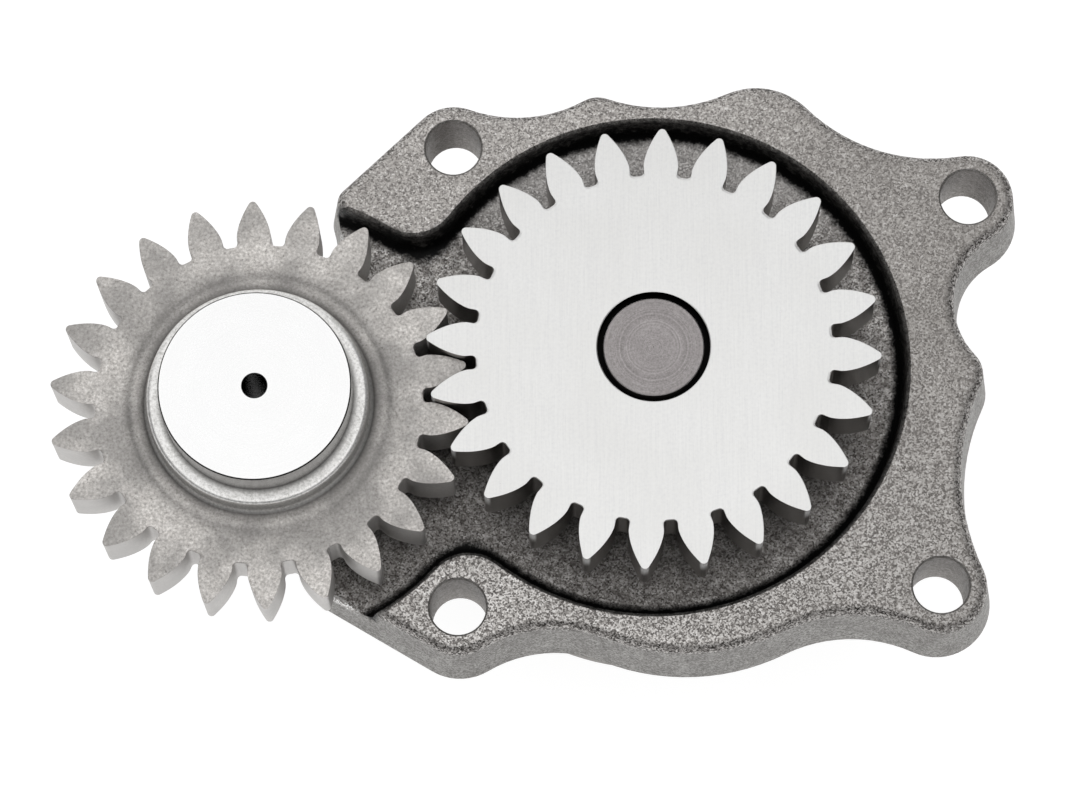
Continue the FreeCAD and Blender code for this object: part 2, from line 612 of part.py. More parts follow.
def outer_rotor():
    """Outer gerotor: round lobes, one more than the inner rotor has, on a ring that turns in the barrel."""
    lobes = INNER_LOBES + 1
    root = ROTOR_ROOT_RADIUS
    at_lobe = math.acos((LOBE_CIRCLE ** 2 + root ** 2 - LOBE_RADIUS ** 2) / (2 * LOBE_CIRCLE * root))
    pitch = 2 * math.pi / lobes
    edges = []
    for index in range(lobes):
        middle = index * pitch
        start = polar(root, middle - at_lobe)
        end = polar(root, middle + at_lobe)
        edges.append(Part.Arc(start, polar(LOBE_CIRCLE - LOBE_RADIUS, middle), end))
        edges.append(Part.Arc(end, polar(root, middle + pitch / 2), polar(root, middle + pitch - at_lobe)))
    wire = Part.Wire([edge.toShape() for edge in edges])
    bottom = BARREL_BACK + ROTOR_END_CLEARANCE
    top = CHAMBER_FRONT - ROTOR_END_CLEARANCE
    hollow = prism(wire, bottom, top)
    corners = [edge for edge in hollow.Edges if isinstance(edge.Curve, Part.Line)]
    hollow = hollow.makeFillet(OUTER_ROTOR_CORNER_RADIUS, corners)
    rotor = cylinder(OUTER_ROTOR_RADIUS, bottom, top).cut(hollow)
    rotor.rotate(Vector(0, 0, 0), Vector(0, 0, 1), math.degrees(ECCENTRIC_DIRECTION + math.pi))
    rotor.translate(Vector(ECCENTRIC_X, ECCENTRIC_Y, 0))
    return rotor


def save(name, shape):
    """One STEP file for each named piece."""
    shape.exportStep("parts/" + name + ".step")
    print(name, "solids", len(shape.Solids), "valid", shape.isValid(), "volume", round(shape.Volume, 1))


os.makedirs("parts", exist_ok=True)
bush_bore = SHAFT_RADIUS + RUNNING_CLEARANCE
pin_bore = PIN_RADIUS + RUNNING_CLEARANCE
save("pump_body", pump_body())
save("back_plate", back_plate())
save("back_plate_screws", Part.makeCompound([back_plate_screw(angle) for angle in screw_angles()]))
save("back_plate_dowels", Part.makeCompound([back_plate_dowel(angle) for angle in dowel_angles()]))
save("front_shaft_bush", bush(bush_bore, BUSH_RADIUS, CHAMBER_FRONT, DRIVE_BOSS_TOP))
save("rear_shaft_bush", bush(bush_bore, BUSH_RADIUS, PLATE_BACK + BUSH_SET_BACK, BARREL_BACK))
save("drive_shaft", drive_shaft())
save("drive_gear", drive_gear())
save("inner_rotor", inner_rotor())
save("outer_rotor", outer_rotor())
save("idler_gear", idler_gear())
save("idler_bush", bush(pin_bore, IDLER_BUSH_RADIUS, IDLER_HUB_BACK, HUB_TOP, IDLER_X, IDLER_Y))
save("idler_pin", idler_pin())
washer_bore = PIN_RADIUS + WASHER_INNER_SPACE
washer_top = IDLER_HUB_BACK - AXIAL_PLAY
save("idler_thrust_washer", ring(washer_bore, WASHER_RADIUS, IDLER_BOSS_TOP, washer_top, IDLER_X, IDLER_Y))
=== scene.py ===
# %% [markdown]
# An engine oil pump, dressed from its CAD frame
#
# The frame holds every cast and machined piece at its real size. This lesson gives each piece the
# finish that its making leaves: a blasted casting skin, ground gear faces, turned pin and shaft ends.
# The two gears are made again, because a brush leaves a tiny broken edge round every tooth, and light
# catches there.

# %% Load the frame
import json
import math

import bmesh
import bpy
import numpy as np
from mathutils import Matrix, Vector
from mathutils.geometry import tessellate_polygon


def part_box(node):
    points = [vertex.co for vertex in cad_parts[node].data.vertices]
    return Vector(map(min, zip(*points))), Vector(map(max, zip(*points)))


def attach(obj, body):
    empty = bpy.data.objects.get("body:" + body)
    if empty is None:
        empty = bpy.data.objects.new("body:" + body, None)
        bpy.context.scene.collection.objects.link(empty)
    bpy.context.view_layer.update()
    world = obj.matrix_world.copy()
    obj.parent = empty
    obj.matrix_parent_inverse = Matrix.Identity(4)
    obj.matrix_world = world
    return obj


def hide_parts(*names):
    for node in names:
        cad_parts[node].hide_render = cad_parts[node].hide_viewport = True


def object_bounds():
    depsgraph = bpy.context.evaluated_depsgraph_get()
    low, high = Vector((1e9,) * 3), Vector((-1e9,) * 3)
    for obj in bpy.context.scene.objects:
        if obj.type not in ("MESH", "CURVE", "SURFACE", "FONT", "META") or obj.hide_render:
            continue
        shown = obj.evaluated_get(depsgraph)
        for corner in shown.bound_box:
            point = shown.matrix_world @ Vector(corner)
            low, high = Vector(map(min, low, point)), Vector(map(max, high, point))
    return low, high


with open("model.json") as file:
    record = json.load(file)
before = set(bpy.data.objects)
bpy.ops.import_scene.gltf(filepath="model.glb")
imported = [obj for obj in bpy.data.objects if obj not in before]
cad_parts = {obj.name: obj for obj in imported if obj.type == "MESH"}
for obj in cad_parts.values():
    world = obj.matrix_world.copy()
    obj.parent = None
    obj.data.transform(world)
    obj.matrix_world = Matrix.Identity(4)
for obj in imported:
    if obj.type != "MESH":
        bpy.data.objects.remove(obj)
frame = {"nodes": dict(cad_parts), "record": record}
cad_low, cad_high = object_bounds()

print("nodes:", sorted(frame["nodes"]))
print("box in mm:", [round((high - low) * 1000, 2) for low, high in zip(cad_low, cad_high)])

# %% [markdown]
# Places and heights
#
# Blender works in metres here, so one name for a millimetre keeps the numbers readable. The idler's
# axis and the heights of the faces could be typed in, but they are read from the frame, so that a
# finish stays on its piece if one of them changes. The recess's depth can't be read from a piece's
# box, so it is a number here.

# %% Named places
MM = 0.001
RECESS_DEPTH = 5.5 * MM
pin_low, pin_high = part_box("idler_pin")
idler_low, idler_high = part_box("idler_gear")
gear_low, gear_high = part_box("drive_gear")
body_low, body_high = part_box("pump_body")
IDLER_X = (pin_low[0] + pin_high[0]) / 2
IDLER_Y = (pin_low[1] + pin_high[1]) / 2
GEAR_FACE = gear_high[2]
HUB_TOP = idler_high[2]
FLANGE_FACE = body_high[2]
RECESS_FLOOR = FLANGE_FACE - RECESS_DEPTH
STANDING_HEIGHT = cad_low[2]
print("idler axis in mm:", round(IDLER_X / MM, 2), round(IDLER_Y / MM, 2))

# %% [markdown]
# Colour and nodes
#
# Colours are picked as a screen shows them, in sRGB hex, but light adds up in linear values, so one
# function converts them. A material is a net of nodes. It could be wired by hand in the shader
# editor. Here one small function adds any node, fills its inputs and gives back the output to go on
# with, so a finish reads like a recipe.

# %% Two helpers
def linear(hex_colour):
    """sRGB hex to linear: c / 12.92 up to 0.04045, above it ((c + 0.055) / 1.055) to the power 2.4."""
    channels = np.array([int(hex_colour[i:i + 2], 16) for i in (1, 3, 5)]) / 255
    rgb = np.where(channels <= 0.04045, channels / 12.92, ((channels + 0.055) / 1.055) ** 2.4)
    return (*rgb.tolist(), 1.0)


def add(tree, kind, inputs=(), out=0, stops=(), **settings):
    """Adds one shader node with its settings and links, and returns one of its outputs.

    Inputs are a tuple that fills the sockets from the top down, or a dict by name. Each is a value, a
    hex colour or the output of another node. Stops are a ramp's (position, hex colour) pairs.
    """
    made = tree.nodes.new("ShaderNode" + kind)
    for name, value in settings.items():
        setattr(made, name, value)
    for socket, value in inputs.items() if isinstance(inputs, dict) else enumerate(inputs):
        if isinstance(value, bpy.types.NodeSocket):
            tree.links.new(value, made.inputs[socket])
        else:
            made.inputs[socket].default_value = linear(value) if isinstance(value, str) else value
    if stops:
        points = made.color_ramp.elements
        while len(points) < len(stops):
            points.new(0.5)
        for point, (position, colour) in zip(points, stops):
            point.position = position
            point.color = linear(colour)
    return made.outputs[out]


print("mid grey in linear light:", [round(value, 3) for value in linear("#808080")[:3]])

# %% [markdown]
# A metal to start from
#
# Every metal here starts as one principled shader. Its grain is read from Object coordinates, which
# are the piece's own, so the grain stays on the metal when a gear turns; Generated coordinates would
# stretch with the piece's box. A pattern's scale is written as the real size of one grain.

# %% Metal, grain size and finish
def metal(name, metallic=1.0, roughness=0.5):
    """A new material with one principled shader, and the net of nodes that it stands in."""
    made = bpy.data.materials.new(name)
    made.use_nodes = True
    shader = made.node_tree.nodes["Principled BSDF"]
    shader.inputs["Metallic"].default_value = metallic
    shader.inputs["Roughness"].default_value = roughness
    return made, made.node_tree


def lead(tree, **looks):
    """Links outputs into the metal's shader, by socket: base_color, metallic, roughness or normal."""
    for name, value in looks.items():
        tree.links.new(value, tree.nodes["Principled BSDF"].inputs[name.replace("_", " ").title()])


def per(size_mm):
    """Scale of a texture whose grain measures size_mm."""
    return 1 / (size_mm * MM)


def finish(node, material):
    """Puts a material in every slot of a CAD node."""
    for slot in frame["nodes"][node].material_slots:
        slot.material = material


print("one grain of 0.5 mm is a scale of", per(0.5))

# %% [markdown]
# Where a spot of the casting lies
#
# The body is grey cast iron. The grit that cleans it leaves a coarse sparkling skin on the flange's
# face. The walls, which the mould shaped, are plainer and darker, and the recess's floor is painted
# darker lower down, as shade.
# The casting could be cut into pieces with a material each, but then the seams would show, so one
# material asks each spot's own coordinates which surface it belongs to. The recess is the space
# within two circles, one round each gear, which flow together over the cusp's width, and the holes
# are the record's mounts.

# %% Distances on the body
RECESS_AROUND_DRIVE = 40.95 * MM
RECESS_AROUND_IDLER = 37.1 * MM
RECESS_CUSP = 13.9 * MM
HOLES = [mount["pos_m"] for mount in frame["record"]["mounts"]
         if mount["name"].startswith("mounting_hole")]


def distance_from(tree, place, x, y):
    """Distance in the plan from the upright line through x, y: the length once the height is dropped."""
    flat = add(tree, "Mapping", {"Vector": place, "Location": (-x, -y, 0.0), "Scale": (1.0, 1.0, 0.0)})
    return add(tree, "VectorMath", (flat,), out="Value", operation="LENGTH")


body_iron, tree = metal("blasted_cast_iron", metallic=0.75)
own = add(tree, "TexCoord", out="Object")
across, upwards, height = [add(tree, "SeparateXYZ", (own,), out=axis) for axis in "XYZ"]
facing = add(tree, "SeparateXYZ", (add(tree, "TexCoord", out="Normal"),), out="Z")

from_drive = distance_from(tree, own, 0.0, 0.0)
from_idler = distance_from(tree, own, IDLER_X, IDLER_Y)
within_drive = add(tree, "Math", (RECESS_AROUND_DRIVE, from_drive), operation="SUBTRACT")
within_idler = add(tree, "Math", (RECESS_AROUND_IDLER, from_idler), operation="SUBTRACT")
within_recess = add(tree, "Math", (within_drive, within_idler, RECESS_CUSP), operation="SMOOTH_MAX")
ragged = add(tree, "TexNoise", {"Vector": own, "Scale": per(1.1), "Detail": 4.0, "Roughness": 0.7})
ragged = add(tree, "MapRange", (ragged, 0.3, 0.7, -0.4 * MM, 0.4 * MM))
ragged_recess = add(tree, "Math", (within_recess, ragged), operation="ADD")

to_hole = distance_from(tree, own, *HOLES[0][:2])
for hole in HOLES[1:]:
    to_hole = add(tree, "Math", (to_hole, distance_from(tree, own, *hole[:2])), operation="MINIMUM")
print("holes at", [[round(value / MM, 1) for value in hole[:2]] for hole in HOLES])

# %% [markdown]
# Blasted grain
#
# Grit leaves craters of 0.2 to 0.4 mm. Noise alone gives soft clouds and cells alone give flat chips,
# so both are mixed: together they give dark pits and single bright glints. Every surface of the
# casting has this grain, in colours of its own.

# %% Grain and its colours
craters = add(tree, "TexNoise", {"Vector": own, "Scale": per(0.4), "Detail": 3.0, "Roughness": 0.7})
cell = add(tree, "TexVoronoi", {"Vector": own, "Scale": per(0.24)}, out="Color", feature="F1")
glints = add(tree, "SeparateColor", (cell,), out="Red")
crater_part = add(tree, "Math", (craters, 0.58), operation="MULTIPLY")
skin = add(tree, "Math", (glints, 0.42, crater_part), operation="MULTIPLY_ADD")

face_colour = add(tree, "ValToRGB", (skin,), stops=[
    (0.22, "#726e6b"), (0.4, "#a29e9b"), (0.52, "#bcb8b4"), (0.64, "#cecac6"), (0.78, "#f2f0ee")])
wall_colour = add(tree, "ValToRGB", (skin,), stops=[
    (0.22, "#6f6c69"), (0.5, "#989693"), (0.8, "#bcbab7")])
# Painted shade: the flange's rounded edge is darker than the face.
shaded_edge_colour = add(tree, "ValToRGB", (skin,), stops=[
    (0.3, "#2f2c2a"), (0.5, "#8d8986"), (0.72, "#d9d6d3")])
# Painted highlight: the rounded rim where the recess opens is bright, up to white.
rim_highlight_colour = add(tree, "ValToRGB", (skin,), stops=[
    (0.3, "#76726e"), (0.48, "#c9c5c1"), (0.62, "#ffffff")])
floor_colour = add(tree, "ValToRGB", (skin,), stops=[
    (0.24, "#4b4643"), (0.5, "#b6b2ae"), (0.76, "#fbf9f7")])
turned_colour = add(tree, "ValToRGB", (skin,), stops=[(0.2, "#7d7975"), (0.8, "#98938f")])
print("nodes in the casting's net so far:", len(tree.nodes))

# %% [markdown]
# Painted light and shade, blotches and stains
#
# The recess's floor is painted darker lower down, as the gears' shadow, and lighter higher up, as
# painted light. Soft dark blotches lie on the floor, more of them lower down. On the lower face the
# pits are darker and the glints are painted brighter, and the face is painted darker towards the
# right, as shade. The walls are stained in soft spots. These could be painted on a picture, but each
# is only one more colour laid over the grain by a mask from 0 to 1, which needs no picture.

# %% Painted light and shade, blotches and stains
# Painted shade: the recess's floor turns darker lower down, where the gears' shadow falls.
lower_floor_shade = add(tree, "MapRange", (upwards, 14.0 * MM, -12.0 * MM, 0.0, 0.45))
floor_colour = add(tree, "MixRGB", (lower_floor_shade, floor_colour, "#2f2b29"))
blotches = add(tree, "TexNoise", {"Vector": own, "Scale": per(1.6), "Detail": 4.0, "Roughness": 0.7})
blotches = add(tree, "MapRange", (blotches, 0.4, 0.62))
reached_by_oil = add(tree, "MapRange", (upwards, 22.0 * MM, 34.0 * MM, 0.5, 0.15))
blotches = add(tree, "Math", (blotches, reached_by_oil), operation="MULTIPLY")
floor_colour = add(tree, "MixRGB", (blotches, floor_colour, "#3a3532"))
# Painted light: the upper part of the recess's floor is lighter, where more light reaches it.
upper_floor_light = add(tree, "MapRange", (upwards, 20.0 * MM, 32.0 * MM, 0.0, 0.6))
floor_colour = add(tree, "MixRGB", (upper_floor_light, floor_colour, "#c3c0be"))

# On the lower face the pits are darker, and the glints there are a painted highlight.
lower = add(tree, "MapRange", (upwards, 10.0 * MM, -30.0 * MM, 0.0, 0.4))
darker_low_pits = add(tree, "Math", (add(tree, "MapRange", (skin, 0.5, 0.38)), lower), operation="MULTIPLY")
painted_low_glints = add(tree, "Math", (add(tree, "MapRange", (skin, 0.5, 0.6)), lower), operation="MULTIPLY")
face_colour = add(tree, "MixRGB", (darker_low_pits, face_colour, "#45413e"))
face_colour = add(tree, "MixRGB", (painted_low_glints, face_colour, "#f4f2f0"))
# Painted shade: the face turns darker towards the right.
right_side_shade = add(tree, "MapRange", (across, 5.0 * MM, 50.0 * MM, 0.0, 0.4))
face_colour = add(tree, "MixRGB", (right_side_shade, face_colour, "#7a7672"))

long_spots = add(tree, "Mapping", {"Vector": own, "Scale": (1.0, 1.0, 0.8)})
stains = add(tree, "TexNoise", {"Vector": long_spots, "Scale": per(3.0), "Detail": 4.0, "Roughness": 0.65})
stains = add(tree, "MapRange", (stains, 0.42, 0.65, 0.0, 0.35))
wall_colour = add(tree, "MixRGB", (stains, wall_colour, "#5f5c59"))
print("nodes in the casting's net so far:", len(tree.nodes))

# %% [markdown]
# Masks of the surfaces
#
# Each surface gets a mask: a range of heights or distances carried to 0 and 1, and a product where
# two have to hold. Masks could be painted by hand, but these follow the sizes. Their ranges are 0.1
# to 2 mm wide, because little on a casting changes in a hard line.

# %% Masks
upward = add(tree, "MapRange", (facing, 0.80, 0.95))
near_face = add(tree, "MapRange", (height, FLANGE_FACE - 1.2 * MM, FLANGE_FACE - 0.4 * MM))
on_face = add(tree, "Math", (upward, near_face), operation="MULTIPLY")

above_floor = add(tree, "MapRange", (height, RECESS_FLOOR - 0.7 * MM, RECESS_FLOOR - 0.1 * MM))
inside_wall = add(tree, "MapRange", (ragged_recess, -0.6 * MM, 0.4 * MM))
in_recess = add(tree, "Math", (inside_wall, above_floor), operation="MULTIPLY")
off_wall = add(tree, "MapRange", (within_recess, 0.5 * MM, 1.6 * MM))
on_floor = add(tree, "Math", (above_floor, off_wall), operation="MULTIPLY")
# Painted shade, with some dark residue: the foot of the recess's wall turns nearly black.
near_wall = add(tree, "MapRange", (ragged_recess, 2.6 * MM, 1.4 * MM))
foot = add(tree, "Math", (in_recess, near_wall), operation="MULTIPLY")

open_side = add(tree, "MapRange", (within_recess, 2.0 * MM, 4.0 * MM))
below_floor = add(tree, "MapRange", (height, RECESS_FLOOR - 2.6 * MM, RECESS_FLOOR - 1.4 * MM))
at_rim = add(tree, "Math", (open_side, below_floor), operation="MULTIPLY")

rounded = add(tree, "MapRange", (height, FLANGE_FACE - 2.6 * MM, FLANGE_FACE - 1.8 * MM))
outside_recess = add(tree, "MapRange", (within_recess, 0.0, -1.0 * MM))
clear_of_holes = add(tree, "MapRange", (to_hole, 5.2 * MM, 5.6 * MM))
at_edge = add(tree, "Math", (rounded, outside_recess), operation="MULTIPLY")
at_edge = add(tree, "Math", (at_edge, clear_of_holes), operation="MULTIPLY")

in_hole = add(tree, "MapRange", (to_hole, 4.62 * MM, 4.52 * MM))
behind = add(tree, "MapRange", (height, 0.3 * MM, 0.0))
turned = add(tree, "Math", (in_hole, behind), operation="MAXIMUM")
print("nodes in the casting's net so far:", len(tree.nodes))

# %% [markdown]
# The casting's colour and relief
#
# The surfaces are laid over each other from the walls up. Wide soft patches tie them together, and
# last comes the painted shade at the foot of the recess's wall, nearly black, with some dark residue.
# The grit's craters are a relief of 0.05 mm. They could be real displacement, but that takes millions
# of faces, and a bump shows the same at this size. In the holes and on the barrel behind, a tool has
# cut rings 0.4 mm apart.

# %% Casting put together
patches = add(tree, "TexNoise", {"Vector": own, "Scale": per(9.0), "Detail": 3.0})
patches = add(tree, "MapRange", (patches, 0.35, 0.75, 0.0, 0.22))
colour = wall_colour
# Of these layers, the edge and the foot are painted shade and the rim is a painted highlight.
for mask, over in [(at_edge, shaded_edge_colour), (at_rim, rim_highlight_colour), (on_face, face_colour),
                   (on_floor, floor_colour), (turned, turned_colour), (patches, "#6a6662"),
                   (foot, "#040404")]:
    colour = add(tree, "MixRGB", (mask, colour, over))

upright = add(tree, "Mapping", {"Vector": own, "Scale": (0.05, 0.05, 1.0)})
cut_rings = add(tree, "TexNoise", {"Vector": upright, "Scale": per(0.4), "Detail": 1.0})
rough_skin = add(tree, "Bump", {"Height": skin, "Distance": 0.05 * MM})
turned_skin = add(tree, "Bump", {"Height": cut_rings, "Distance": 0.012 * MM})
# A Mix node has its two vector inputs at 4 and 5 and its vector output at 1.
normal = add(tree, "Mix", {0: turned, 4: rough_skin, 5: turned_skin}, out=1, data_type="VECTOR")
lead(tree, base_color=colour, normal=normal, roughness=add(tree, "MapRange", (skin, 0.3, 0.75, 0.62, 0.38)))
finish("pump_body", body_iron)
print("nodes in the casting's net:", len(tree.nodes))

# %% [markdown]
# Ground steel of the drive gear
#
# The drive gear's face was ground on a flat grinder, so all its fine lines run one way, and it shines
# evenly. Lines could be drawn as waves, but waves repeat; noise read at 0.035 of its pace along Y
# gives long lines that never do. Real grinding lines are about 0.05 mm wide, too fine to show, so
# they are drawn 0.3 mm wide. The flanks were cut by a hob and are plain, and the upper part of each
# tooth's crown is paler and less metallic.

# %% Drive gear material
GROOVE_RADIUS = 8.95 * MM
ground_steel, tree = metal("ground_gear_steel", roughness=0.3)
own = add(tree, "TexCoord", out="Object")
height = add(tree, "SeparateXYZ", (own,), out="Z")
facing = add(tree, "SeparateXYZ", (add(tree, "TexCoord", out="Normal"),), out="Z")
from_axis = distance_from(tree, own, 0.0, 0.0)

drawn_out = add(tree, "Mapping", {"Vector": own, "Scale": (1.0, 0.035, 1.0)})
long_lines = add(tree, "TexNoise", {"Vector": drawn_out, "Scale": per(0.3), "Detail": 3.0, "Roughness": 0.7})
long_part = add(tree, "Math", (long_lines, 0.55), operation="MULTIPLY")
fine_grain = add(tree, "TexNoise", {"Vector": own, "Scale": per(0.5), "Detail": 3.0})
lines = add(tree, "Math", (fine_grain, 0.45, long_part), operation="MULTIPLY_ADD")
ground = add(tree, "ValToRGB", (lines,), stops=[(0.35, "#d6d6d6"), (0.5, "#dededd"), (0.65, "#e4e4e3")])
clouds = add(tree, "TexNoise", {"Vector": own, "Scale": per(14.0)})
ground = add(tree, "MixRGB", (add(tree, "MapRange", (clouds, 0.3, 0.7, 0.0, 0.25)), ground, "#d0cfcc"))

at_tips = add(tree, "MapRange", (from_axis, 35.6 * MM, 35.9 * MM))
sideways = add(tree, "MapRange", (facing, 0.5, 0.3))
upper_part = add(tree, "MapRange", (height, GEAR_FACE - 5.5 * MM, GEAR_FACE - 2.0 * MM))
pale_upper_crown = add(tree, "Math", (at_tips, sideways), operation="MULTIPLY")
pale_upper_crown = add(tree, "Math", (pale_upper_crown, upper_part), operation="MULTIPLY")
hobbed = add(tree, "MixRGB", (pale_upper_crown, "#8d8a87", "#dddcdb"))
steel = add(tree, "MixRGB", (add(tree, "MapRange", (facing, 0.5, 0.8)), hobbed, ground))

# Painted shade: the groove round the shaft is near black inside.
by_shaft = add(tree, "MapRange", (from_axis, GROOVE_RADIUS + 0.17 * MM, GROOVE_RADIUS + 0.07 * MM))
sunk = add(tree, "MapRange", (height, GEAR_FACE - 0.05 * MM, GEAR_FACE - 0.3 * MM))
groove_shade = add(tree, "Math", (by_shaft, sunk), operation="MULTIPLY")
lead(tree, base_color=add(tree, "MixRGB", (groove_shade, steel, "#0b0b0b")),
     metallic=add(tree, "MapRange", (pale_upper_crown, 0.0, 1.0, 1.0, 0.2)),
     roughness=add(tree, "MapRange", (lines, 0.3, 0.7, 0.27, 0.37)),
     normal=add(tree, "Bump", {"Height": lines, "Distance": 0.004 * MM}))
finish("drive_gear", ground_steel)
print("ground steel nodes:", len(tree.nodes))

# %% [markdown]
# Sintered steel of the idler
#
# The idler is pressed from iron powder and sintered, which leaves a matt face with fine pores and a
# few open pits. Its hub was faced in a lathe afterwards, so it is lighter and smoother. Two materials
# would need a seam in the mesh just where the hub's foot rounds over. One material with a soft change
# by radius needs none, and it paints shade where the light hardly reaches: towards the hub, at its
# foot, on the slope of the land and on the ring round the pin. The flanks are painted lighter, as
# their sheen. Real pores are about 0.1 mm wide, too fine to show, so they are drawn 0.45 mm wide.

# %% Idler material
HUB_EDGE = 17.6 * MM
LAND_EDGE = 20.0 * MM
SLOPE_EDGE = 21.4 * MM
PIN_HEAD_RADIUS = 15.2 * MM
sintered_steel, tree = metal("sintered_gear_steel", metallic=0.85, roughness=0.45)
own = add(tree, "TexCoord", out="Object")
facing = add(tree, "SeparateXYZ", (add(tree, "TexCoord", out="Normal"),), out="Z")
from_axis = distance_from(tree, own, IDLER_X, IDLER_Y)

pores = add(tree, "TexNoise", {"Vector": own, "Scale": per(0.45), "Detail": 4.0, "Roughness": 0.75})
matt = add(tree, "ValToRGB", (pores,), stops=[
    (0.32, "#95918d"), (0.42, "#c0bcb8"), (0.54, "#dad6d2"), (0.68, "#f8f5f2")])
clouds = add(tree, "TexNoise", {"Vector": own, "Scale": per(11.0), "Detail": 4.0, "Roughness": 0.6})
matt = add(tree, "MixRGB", (add(tree, "MapRange", (clouds, 0.38, 0.6, 0.0, 0.6)), matt, "#868482"))
# Painted shade: the web turns darker towards the hub.
shade_towards_hub = add(tree, "MapRange", (from_axis, 25.0 * MM, 19.5 * MM, 0.0, 0.3))
matt = add(tree, "MixRGB", (shade_towards_hub, matt, "#6b6967"))
# Painted shade at the hub's foot, where its round meets the land.
shade_at_foot = add(tree, "MapRange", (from_axis, HUB_EDGE + 2.1 * MM, HUB_EDGE + 0.7 * MM, 0.0, 0.75))
matt = add(tree, "MixRGB", (shade_at_foot, matt, "#454341"))
# Painted shade on the slope of the land round the hub.
past_land = add(tree, "MapRange", (from_axis, LAND_EDGE, LAND_EDGE + 0.8 * MM))
before_face = add(tree, "MapRange", (from_axis, SLOPE_EDGE + 0.8 * MM, SLOPE_EDGE - 0.4 * MM, 0.0, 0.3))
shade_on_slope = add(tree, "Math", (past_land, before_face), operation="MULTIPLY")
matt = add(tree, "MixRGB", (shade_on_slope, matt, "#5b5957"))
from_pit = add(tree, "TexVoronoi", {"Vector": own, "Scale": per(3.4)}, out="Distance", feature="F1")
in_pit = add(tree, "MapRange", (from_pit, 0.06, 0.03, 0.0, 0.5))
matt = add(tree, "MixRGB", (in_pit, matt, "#55514f"))
# Painted light: the flanks are lighter, as their sheen.
flank_sheen = add(tree, "MapRange", (facing, 0.5, 0.2, 0.0, 0.75))
matt = add(tree, "MixRGB", (flank_sheen, matt, "#cdcbc9"))

faced = add(tree, "ValToRGB", (pores,), stops=[(0.34, "#c6c5c2"), (0.5, "#e6e5e3"), (0.66, "#fbfaf8")])
# Painted shadow on the hub's ring, next to the pin.
pin_contact_shadow = add(tree, "MapRange", (from_axis, PIN_HEAD_RADIUS + 0.9 * MM, PIN_HEAD_RADIUS, 0.0, 0.8))
faced = add(tree, "MixRGB", (pin_contact_shadow, faced, "#3c3a38"))
on_hub = add(tree, "MapRange", (from_axis, HUB_EDGE + 0.7 * MM, HUB_EDGE + 0.1 * MM))
lead(tree, base_color=add(tree, "MixRGB", (on_hub, matt, faced)),
     roughness=add(tree, "MapRange", (on_hub, 0.0, 1.0, 0.5, 0.33)),
     normal=add(tree, "Bump", {"Height": pores, "Distance": 0.02 * MM}))
finish("idler_gear", sintered_steel)
print("sintered steel nodes:", len(tree.nodes))

# %% [markdown]
# Turned ends of the pin and the shaft
#
# The pin's head was turned very fine, so it is the brightest piece, and the shaft's end was turned
# coarser and is greyer. The washer and the back plate were ground while they turned, and the bronze
# bushes were bored, so they carry rings too. An anisotropic shader would smear the light round the
# axis without drawing a ring. Rings that can be seen come from noise read along the distance from the
# axis, so one function serves every axis. A real feed is about 0.1 mm a turn, too fine to show, so
# the rings are drawn 0.25 to 0.8 mm wide.

# %% Turned materials
def turned_metal(name, x, y, ring_mm, dark, light, roughness, side_shading=None, corner=None, hole_mm=0.0):
    """Metal with turning rings round the upright line through x, y: noise of the distance from it.

    The two facing colours, for what faces sideways and what faces at a slant, are painted light and
    shade. A hole of radius hole_mm down the axis is painted black, as shade.
    """
    made, tree = metal(name, roughness=roughness)
    own = add(tree, "TexCoord", out="Object")
    out = distance_from(tree, own, x, y)
    along = add(tree, "SeparateXYZ", (own,), out="Z")
    line = add(tree, "CombineXYZ", {"X": out, "Z": along})
    rings = add(tree, "TexNoise", {"Vector": line, "Scale": per(ring_mm), "Detail": 3.0, "Roughness": 0.7})
    specks = add(tree, "TexNoise", {"Vector": own, "Scale": per(0.3), "Detail": 3.0, "Roughness": 0.7})
    ring_part = add(tree, "Math", (rings, 0.5), operation="MULTIPLY")
    rings = add(tree, "Math", (specks, 0.5, ring_part), operation="MULTIPLY_ADD")
    shade = add(tree, "ValToRGB", (rings,), stops=[(0.35, dark), (0.65, light)])
    haze = add(tree, "TexNoise", {"Vector": own, "Scale": per(5.0), "Detail": 3.0})
    shade = add(tree, "MixRGB", (add(tree, "MapRange", (haze, 0.4, 0.7, 0.0, 0.2)), shade, dark))
    # Painted light and shade by facing: colours for what faces sideways and at a slant.
    if side_shading is not None:
        facing = add(tree, "SeparateXYZ", (add(tree, "TexCoord", out="Normal"),), out="Z")
        shade = add(tree, "MixRGB", (add(tree, "MapRange", (facing, 0.8, 0.9)), corner, shade))
        shade = add(tree, "MixRGB", (add(tree, "MapRange", (facing, 0.5, 0.6)), side_shading, shade))
    # Painted shade: the hole down the axis is black.
    in_hole = add(tree, "MapRange", (out, (hole_mm + 0.1) * MM, (hole_mm + 0.05) * MM))
    lead(tree, base_color=add(tree, "MixRGB", (in_hole, shade, "#070707")),
         roughness=add(tree, "MapRange", (rings, 0.3, 0.7, roughness * 0.85, roughness * 1.2)),
         normal=add(tree, "Bump", {"Height": rings, "Distance": 0.004 * MM}))
    return made


